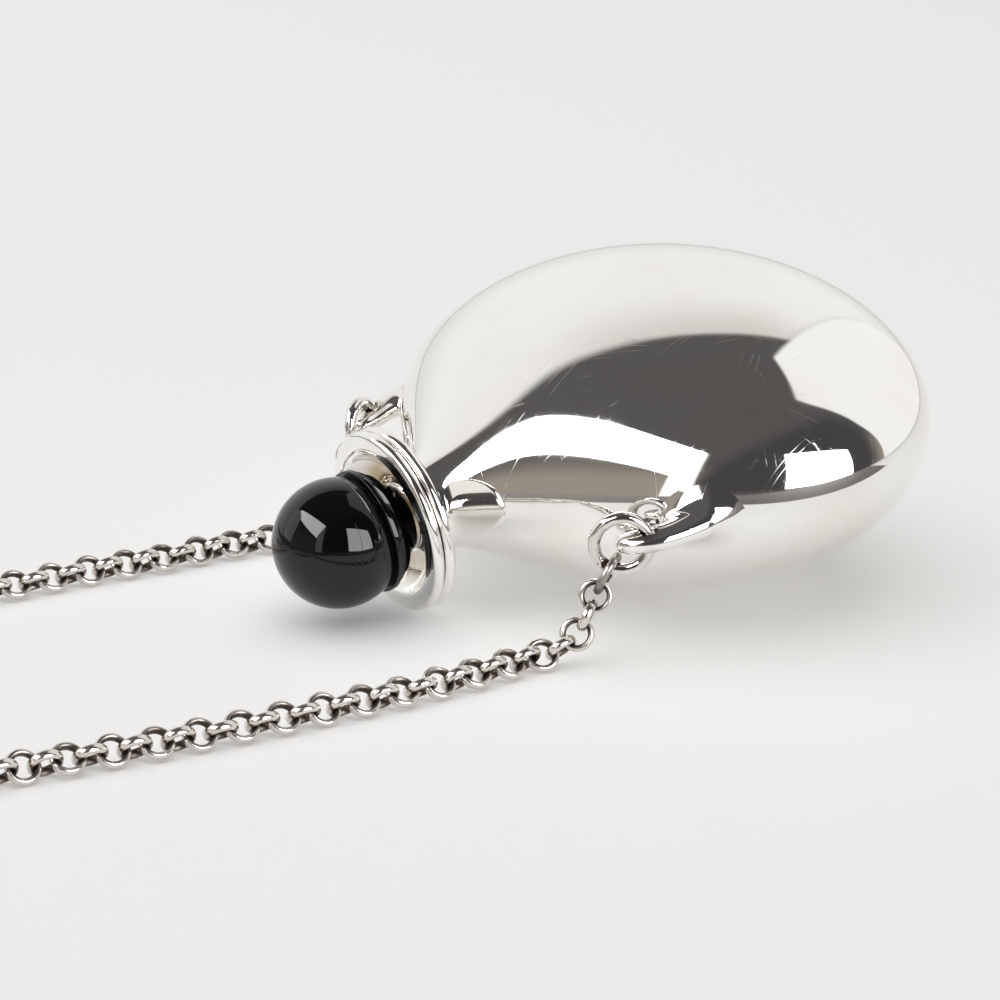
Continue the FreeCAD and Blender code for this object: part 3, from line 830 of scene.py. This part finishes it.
foot_steps = [
    (-1.75, 3.0), (-1.75, 4.75), (-1.30, 4.75), (-1.30, 4.40), (-0.80, 4.40),
    (-0.80, 4.00), (-0.20, 4.00), (-0.20, 3.50), (1.25, 2.60), (1.25, 0.95)]
foot = turned_piece("stopper_foot_polished", eased_corners(foot_steps, 0.09), ONYX)
for piece, node in ((ball, "stopper_ball"), (foot, "stopper_foot")):
    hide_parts(node)
    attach(piece, "stopper")
for node in ("stopper_peg", "stopper_plug"):
    refinish(node, BODY_SILVER)
sleeve, sleeve_tree, sleeve_shader = new_material("soft_sleeve")
sleeve_shader.inputs["Base Color"].default_value = (0.03, 0.03, 0.03, 1)
worn_sleeve = spread(sleeve_tree, noise(sleeve_tree, 1500.0, 3.0), 0.3, 0.7, 0.45, 0.7)
sleeve_tree.links.new(worn_sleeve, sleeve_shader.inputs["Roughness"])
refinish("stopper_seal", sleeve)


# --- Lugs ---------------------------------------------------------------------------------
# Cast silver horns soldered to the flask's shoulders. Each runs forward and
# thins to a rounded tip, with an eye through it for the jump ring.

LUG_SILVER = polished_silver("lug_silver", tarnish_and_shade=0.8)
HORN = [
    (8.62, -18.00, 0.10, 0.10), (8.72, -18.06, 0.48, 0.42), (9.05, -18.28, 0.82, 0.66),
    (9.75, -18.72, 1.12, 0.80), (10.90, -19.40, 1.32, 0.86), (12.10, -19.82, 1.34, 0.92),
    (13.30, -19.95, 1.42, 1.06), (14.60, -19.80, 1.60, 1.26), (16.20, -19.30, 1.85, 1.50),
    (18.40, -18.30, 2.20, 1.80),
]
FILLET = 1.5                     # the solder's fillet round the horn's root


def smooth_run(rows, steps):
    """More rows between the given ones, on a smooth curve through them."""
    out = []
    padded = [rows[0]] + list(rows) + [rows[-1]]
    for a, b, c, d in zip(padded, padded[1:], padded[2:], padded[3:]):
        for step in range(steps):
            t = step / steps
            out.append(tuple(
                0.5 * (2 * q + (r - p) * t + (2 * p - 5 * q + 4 * r - s) * t * t
                       + (3 * q - p - 3 * r + s) * t ** 3)
                for p, q, r, s in zip(a, b, c, d)))
    out.append(rows[-1])
    return out


def inside_body(point):
    """Less than zero inside the body, more than zero outside it."""
    if point.x < FLARE_END:
        t = (point.x - NECK_START) / (FLARE_END - NECK_START)
        half_y = flare(NECK_RADIUS, BODY_HALF.y, WIDE_BEND)(t)
        half_z = flare(NECK_RADIUS, BODY_HALF.z, THICK_BEND)(t)
    else:
        ring = math.sqrt(max(1e-6, 1 - ((point.x - BODY_BACK) / BODY_HALF.x) ** 2))
        half_y, half_z = BODY_HALF.y * ring, BODY_HALF.z * ring
    return math.hypot(point.y / half_y, point.z / half_z) - 1


def body_normal(point):
    step = 0.01
    return Vector([
        inside_body(point + Vector(axis) * step) - inside_body(point - Vector(axis) * step)
        for axis in ((1, 0, 0), (0, 1, 0), (0, 0, 1))]).normalized()


def onto_body(point):
    """The nearby point of the body's surface."""
    for _ in range(12):
        normal = body_normal(point)
        slope = (inside_body(point + normal * 0.01) - inside_body(point)) / 0.01
        point = point - normal * (inside_body(point) / slope)
    return point


def hourglass_cutter():
    """The eye's shape: narrow in the middle, open at both faces."""
    profile = [(z, 0.60 + 0.45 * (z / 1.1) ** 2) for z in [-1.3 + 0.13 * n for n in range(21)]]
    around = 40
    vertices = [
        (EYE.x + r * math.cos(2 * math.pi * k / around),
         EYE.y + r * math.sin(2 * math.pi * k / around), z)
        for z, r in profile for k in range(around)]
    vertices += [(EYE.x, EYE.y, profile[0][0]), (EYE.x, EYE.y, profile[-1][0])]
    return vertices, rings_to_faces(len(profile), around, True, True)


def horn_lug():
    rows = smooth_run(HORN, 7)
    around = 72
    lines = [[] for _ in range(around)]
    for index, (x, y, breadth, depth) in enumerate(rows):
        before = rows[max(index - 1, 0)]
        after = rows[min(index + 1, len(rows) - 1)]
        heading = Vector((after[0] - before[0], after[1] - before[1], 0)).normalized()
        across = Vector((-heading.y, heading.x, 0))
        for k, line in enumerate(lines):
            angle = 2 * math.pi * k / around
            line.append(Vector((x, y, 0)) + across * (breadth * math.cos(angle))
                        + Vector((0, 0, depth * math.sin(angle))))
    exits = []
    for line in lines:
        for first, second in zip(line, line[1:]):
            if inside_body(second) < 0:
                low, high = 0.0, 1.0
                for _ in range(24):
                    middle = (low + high) / 2
                    if inside_body(first.lerp(second, middle)) > 0:
                        low = middle
                    else:
                        high = middle
                exits.append(first.lerp(second, high))
                break
    centre = sum(exits, Vector()) / around
    steps_out = 46
    steps_round = 14
    vertices = []
    for line, leaves in zip(lines, exits):
        travelled = [0.0]
        for first, second in zip(line, line[1:]):
            travelled.append(travelled[-1] + (second - first).length)
        to_exit = next(
            d + (leaves - a).length for a, b, d in zip(line, line[1:], travelled)
            if inside_body(b) < 0)
        stop = to_exit - FILLET

        def along(distance):
            for a, b, d, e in zip(line, line[1:], travelled, travelled[1:]):
                if distance <= e:
                    return a.lerp(b, (distance - d) / (e - d))
            return line[-1]

        run = [along(stop * step / steps_out) for step in range(steps_out)]
        start = along(stop)
        heading = (along(stop + 0.05) - along(stop - 0.05)).normalized()
        outward = leaves - centre
        normal = body_normal(leaves)
        outward = (outward - normal * outward.dot(normal)).normalized()
        foot = onto_body(leaves + outward * FILLET)
        foot_normal = body_normal(foot)
        back = leaves - foot
        back = (back - foot_normal * back.dot(foot_normal)).normalized()
        bend = [start, start + heading * FILLET * 0.6, foot + back * FILLET * 0.6, foot]
        for step in range(steps_round + 1):
            t = step / steps_round
            run.append(
                bend[0] * (1 - t) ** 3 + bend[1] * 3 * t * (1 - t) ** 2
                + bend[2] * 3 * t * t * (1 - t) + bend[3] * t ** 3)
        run[-1] -= foot_normal * 0.012
        run.append(foot - foot_normal * 0.6 + back * 0.4)
        vertices.append(run)
    rings = len(vertices[0])
    flat = [vertices[k][ring] for ring in range(rings) for k in range(around)]
    flat.append(Vector((HORN[0][0] - 0.02, HORN[0][1] + 0.01, 0)))
    flat.append(centre - body_normal(centre) * 1.2)
    horn = place_on_flask(
        "near_lug_cast", flat, rings_to_faces(rings, around, True, True), LUG_SILVER)
    cutter = place_on_flask("eye_cutter", *hourglass_cutter(), LUG_SILVER)
    for piece in (horn, cutter):
        work = bmesh.new()
        work.from_mesh(piece.data)
        bmesh.ops.recalc_face_normals(work, faces=work.faces)
        work.to_mesh(piece.data)
        work.free()
    cut = horn.modifiers.new("eye", "BOOLEAN")
    cut.operation = "DIFFERENCE"
    cut.solver = "EXACT"
    cut.object = cutter
    bpy.context.view_layer.update()
    evaluated = horn.evaluated_get(bpy.context.evaluated_depsgraph_get())
    mesh = bpy.data.meshes.new_from_object(evaluated)
    horn.modifiers.clear()
    horn.data = mesh
    bpy.data.objects.remove(cutter)
    mesh.polygons.foreach_set("use_smooth", [True] * len(mesh.polygons))
    mesh.set_sharp_from_angle(angle=math.radians(40))
    eye = (ON_FLASK @ EYE) * MM
    up = (turned_flask @ Vector((0, 0, 1))).normalized()
    # Painted shade with tarnish: the lug is painted dark round its eye, where the ring sits.
    dark = []
    for vertex in mesh.vertices:
        away = vertex.co - eye
        away -= up * away.dot(up)
        dark.append(max(0.0, min(1.0, (1.35 * MM - away.length) / (0.5 * MM))))
    mesh.attributes.new("tarnish_and_shade", "FLOAT", "POINT").data.foreach_set("value", dark)
    return horn


near_lug = horn_lug()
far_mesh = near_lug.data.copy()
far_mesh.name = "far_lug_cast"
for vertex in far_mesh.vertices:
    vertex.co.y = -vertex.co.y
far_mesh.flip_normals()
far_lug = bpy.data.objects.new("far_lug_cast", far_mesh)
scene.collection.objects.link(far_lug)
for side, lug in (("near", near_lug), ("far", far_lug)):
    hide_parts(side + "_lug")
    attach(lug, "flask_and_chain")


# --- Floor and room ------------------------------------------------------------------
# A plain pale table that glows a little, in place of the light the silver would
# throw back on it. The room and the dark table top are there for reflections
# only, and the lamp lights everything else, so the two are set apart.

FLOOR_HALF = 3.0
FLOOR_GLOW = 0.26
floor_mesh = bpy.data.meshes.new("floor")
floor_mesh.from_pydata(
    [(x * FLOOR_HALF, y * FLOOR_HALF, 0) for x, y in ((-1, -1), (1, -1), (1, 1), (-1, 1))],
    [], [(0, 1, 2, 3)])
floor = bpy.data.objects.new("floor", floor_mesh)
scene.collection.objects.link(floor)
floor_material, floor_tree, floor_shader = new_material("pale_table")
floor_shader.inputs["Base Color"].default_value = (0.80, 0.79, 0.775, 1)
floor_shader.inputs["Emission Color"].default_value = (1.0, 1.0, 1.0, 1)
floor_shader.inputs["Emission Strength"].default_value = FLOOR_GLOW
floor_shader.inputs["Roughness"].default_value = 0.75
floor_shader.inputs["Specular IOR Level"].default_value = 0.0
floor_mesh.materials.append(floor_material)

world = bpy.data.worlds.new("room")
scene.world = world
world.use_nodes = True
room = world.node_tree
background = room.nodes["Background"]
towards = add_node(room, "ShaderNodeTexCoord").outputs["Generated"]
split = add_node(room, "ShaderNodeSeparateXYZ")
room.links.new(towards, split.inputs["Vector"])
elevation = combine(room, "ARCSINE", split.outputs["Z"], 0.0)


def direction(azimuth, rise):
    """The unit vector of a bearing and a height above the horizon, in degrees."""
    a, e = math.radians(azimuth), math.radians(rise)
    return Vector((math.cos(e) * math.cos(a), math.cos(e) * math.sin(a), math.sin(e)))


def pane(under, corners, soft, colour):
    """A straight-edged surface of the room: its corners' bearings, then how soft its edge is."""
    rays = [direction(*corner) for corner in corners]
    middle = sum(rays, Vector())
    inside = None
    for ray, following in zip(rays, rays[1:] + rays[:1]):
        edge = ray.cross(following).normalized()
        if edge.dot(middle) < 0:
            edge = -edge
        depth = add_node(room, "ShaderNodeVectorMath", operation="DOT_PRODUCT")
        room.links.new(towards, depth.inputs[0])
        depth.inputs[1].default_value = edge
        lit = spread(room, depth.outputs["Value"], -math.radians(soft), math.radians(soft))
        inside = lit if inside is None else combine(room, "MULTIPLY", inside, lit)
    return blend_colours(room, inside, under, colour)


SHEET = blend_colours(
    room, spread(room, elevation, math.radians(36), math.radians(60)),
    blend_colours(
        room, spread(room, elevation, math.radians(-4), math.radians(16)),
        (0.74, 0.73, 0.715), (0.90, 0.895, 0.885)),
    (0.66, 0.63, 0.60))
SIDE = (0.94, 0.93, 0.915)
WINDOW = (9.0, 9.0, 9.1)
SILL = (1.2, 1.2, 1.18)
SIDE_WINDOW = (7.0, 7.0, 7.1)
GLAZING_BAR = (2.0, 2.0, 2.0)
DARK_CORNER = (0.060, 0.056, 0.060)
walls = blend_colours(
    room, spread(room, elevation, math.radians(14), math.radians(38)),
    (0.33, 0.29, 0.25), (0.098, 0.094, 0.093))
walls = pane(walls, [(-150, 0), (-150, 30), (-105, 60), (-45, 62), (-36, 40), (-36, -5)], 9,
             DARK_CORNER)
walls = pane(walls, [(126, -8), (124, 35), (119, 46), (105, 53), (89, 57.5), (74, 59.5),
                     (59, 59.5), (33, 57), (33, -8)], 2.2, SHEET)
walls = pane(walls, [(34, -8), (34, 66), (5, 73), (-35, 73), (-43, 56), (-37, 38), (-36, -8)],
             0.8, SIDE)
walls = pane(walls, [(118, 31.5), (127, 37.5), (134, 43), (146, 50), (167, 58), (192, 58),
                     (214, 46), (201, 22), (147, 34)], 0.6, WINDOW)
walls = pane(walls, [(119, 31.5), (131, 38), (147, 36), (152, 24), (150, 2), (128, 2)], 0.8, SILL)
walls = pane(walls, [(201, -8), (201, 26), (214, 44), (212, -8)], 0.6, SILL)
walls = pane(walls, [(-101, 2), (-100, 41), (-58, 27), (-57, -3)], 0.6, SIDE_WINDOW)
walls = pane(walls, [(-77.2, -3), (-77.2, 45), (-76.2, 45), (-76.2, -3)], 0.3, GLAZING_BAR)
room.links.new(walls, background.inputs["Color"])
background.inputs["Strength"].default_value = 1.0
world.cycles_visibility.diffuse = False

mat_mesh = bpy.data.meshes.new("table_top")
mat_mesh.from_pydata(
    [Vector(v) * MM for v in (
        (-75, 2900, 0.3), (-75, -62, 0.3), (85, -62, 0.3), (2900, -2750, 0.3),
        (-2900, 2900, 0.3), (-2900, -2900, 0.3), (2900, -2900, 0.3))],
    [], [(0, 1, 5, 4), (1, 2, 3, 6, 5)])
table_top = bpy.data.objects.new("table_top", mat_mesh)
scene.collection.objects.link(table_top)
table_material, table_tree, table_shader = new_material("dark_table")
table_shader.inputs["Base Color"].default_value = (0.10, 0.085, 0.075, 1)
table_shader.inputs["Roughness"].default_value = 0.8
mat_mesh.materials.append(table_material)
table_top.visible_camera = False
table_top.visible_diffuse = False
table_top.visible_shadow = False

scene.view_settings.view_transform = "Standard"


def soft_lamp(name, place, size, power):
    """A square lamp that aims at the flask and shows in no reflection."""
    data = bpy.data.lights.new(name, "AREA")
    data.size = size
    data.energy = power
    lamp = bpy.data.objects.new(name, data)
    lamp.location = place
    lamp.rotation_euler = (-Vector(place)).to_track_quat("-Z", "Y").to_euler()
    lamp.visible_glossy = False
    scene.collection.objects.link(lamp)


soft_lamp("overhead", (-0.25, 0.15, 1.1), 2.2, 21.0)
